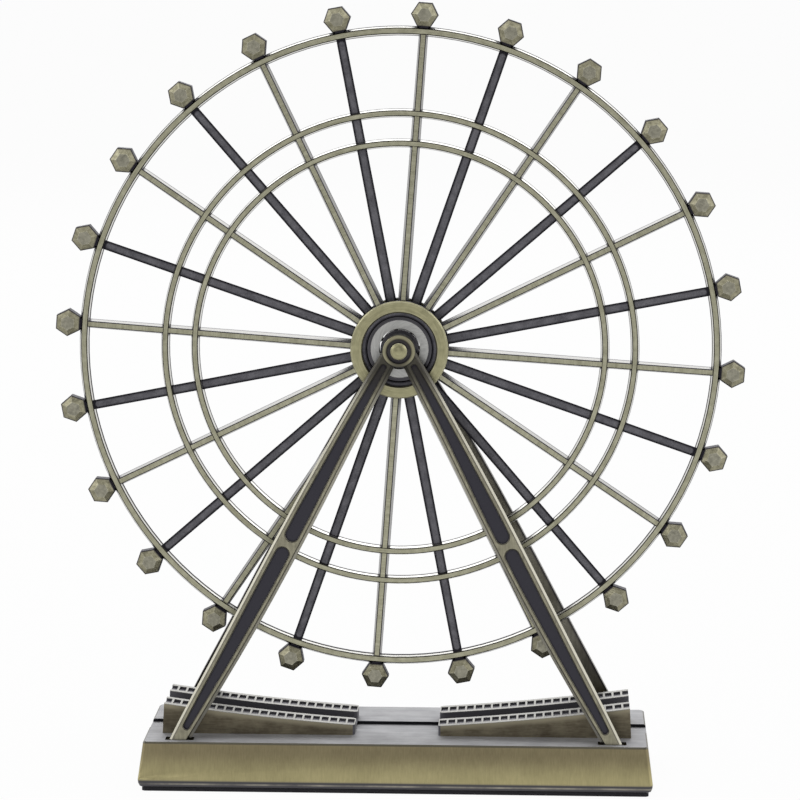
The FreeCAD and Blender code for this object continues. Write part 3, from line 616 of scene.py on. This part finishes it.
def light_tent():
    """White all round; its open front and its ceiling are grey in the metal's reflections."""
    world = bpy.data.worlds.new("light_tent")
    bpy.context.scene.world = world
    world.use_nodes = True
    tree = world.node_tree
    tree.nodes.clear()
    path = add(tree, "ShaderNodeLightPath")
    sight = add(tree, "ShaderNodeTexCoord")
    way = add(tree, "ShaderNodeSeparateXYZ", {0: sight.outputs["Generated"]})
    front = step(tree, way.outputs["Y"], *TENT_OPENING_FROM, start=1.0, end=TENT_OPENING)
    ceiling = step(tree, way.outputs["Z"], *TENT_CEILING_FROM, start=1.0, end=TENT_CEILING)
    dimmed = product(tree, front, ceiling)
    mirrored = add(tree, "ShaderNodeMix", {0: path.outputs["Is Camera Ray"], 2: dimmed, 3: 1.0},
                   data_type="FLOAT")
    strength = add(tree, "ShaderNodeMix", {0: seen_directly(tree), 2: TENT_FILL, 3: mirrored},
                   data_type="FLOAT")
    glow = add(tree, "ShaderNodeBackground", {"Color": (1.0, 1.0, 1.0, 1.0), "Strength": strength})
    add(tree, "ShaderNodeOutputWorld", {"Surface": glow})


def lay_floor():
    """A white floor that keeps the ornament's shadow."""
    corners = [(sx * FLOOR_HALF, sy * FLOOR_HALF, 0.0) for sx, sy in ((-1, -1), (1, -1), (1, 1), (-1, 1))]
    mesh = bpy.data.meshes.new("floor")
    mesh.from_pydata(corners, [], [(0, 1, 2, 3)])
    floor = bpy.data.objects.new("floor", mesh)
    bpy.context.scene.collection.objects.link(floor)
    material, tree = new_finish("white_sweep")
    matt = add(tree, "ShaderNodeBsdfDiffuse", {"Color": (FLOOR_PAINT, FLOOR_PAINT, FLOOR_PAINT, 1.0)})
    white = add(tree, "ShaderNodeEmission", {"Color": (1.0, 1.0, 1.0, 1.0), "Strength": 1.0})
    share = add(tree, "ShaderNodeMath", {0: seen_directly(tree), 1: FLOOR_GLOW}, operation="MULTIPLY")
    surface = add(tree, "ShaderNodeMixShader", {0: share, 1: matt, 2: white})
    add(tree, "ShaderNodeOutputMaterial", {"Surface": surface})
    mesh.materials.append(material)


def hang_softboxes():
    for name, place, aim_height, width, height, radiance in SOFTBOXES:
        lamp = bpy.data.lights.new(name, "AREA")
        lamp.shape = "RECTANGLE"
        lamp.size = width
        lamp.size_y = height
        lamp.energy = radiance * math.pi * width * height
        aim(bpy.data.objects.new(name, lamp), place, (0.0, 0.0, aim_height))


bpy.context.scene.view_settings.view_transform = "Standard"
set_camera()
light_tent()
lay_floor()
hang_softboxes()

rings = wheel_casting("relieved_brass_rings", BROWN_OXIDE, RING_SIDE, mid_side_line=True)
dress(rings, "rim", "middle_ring", "inner_ring")
dress(wheel_casting("relieved_brass_spokes", BLACK_OXIDE_AND_PAINTED_SHADE, SPOKE_SIDE), "front_spokes")
dress(hub_casting(), "front_flange", "rear_flange", "front_axle_cap", "rear_axle_cap")
dress(cabin_casting(), *CABINS)
dress(frame_casting(), "front_frame", "rear_frame")
dress(base_casting(), "base_shell")
dress(ramp_casting(), "left_ramp", "right_ramp")
dress(blackened_bronze(), "rear_spokes", "hub_barrel")
dress(race_steel(), "bearing_inner_race", "bearing_outer_race", "bearing_balls")
dress(shield_steel(), "front_shield", "rear_shield", "bearing_cage")
dress(plated_steel(), "axle", "front_spacer", "rear_spacer", "base_plate", "base_plate_screws",
      "ramp_screws", "leg_screws")
dress(foam(), "base_pad")
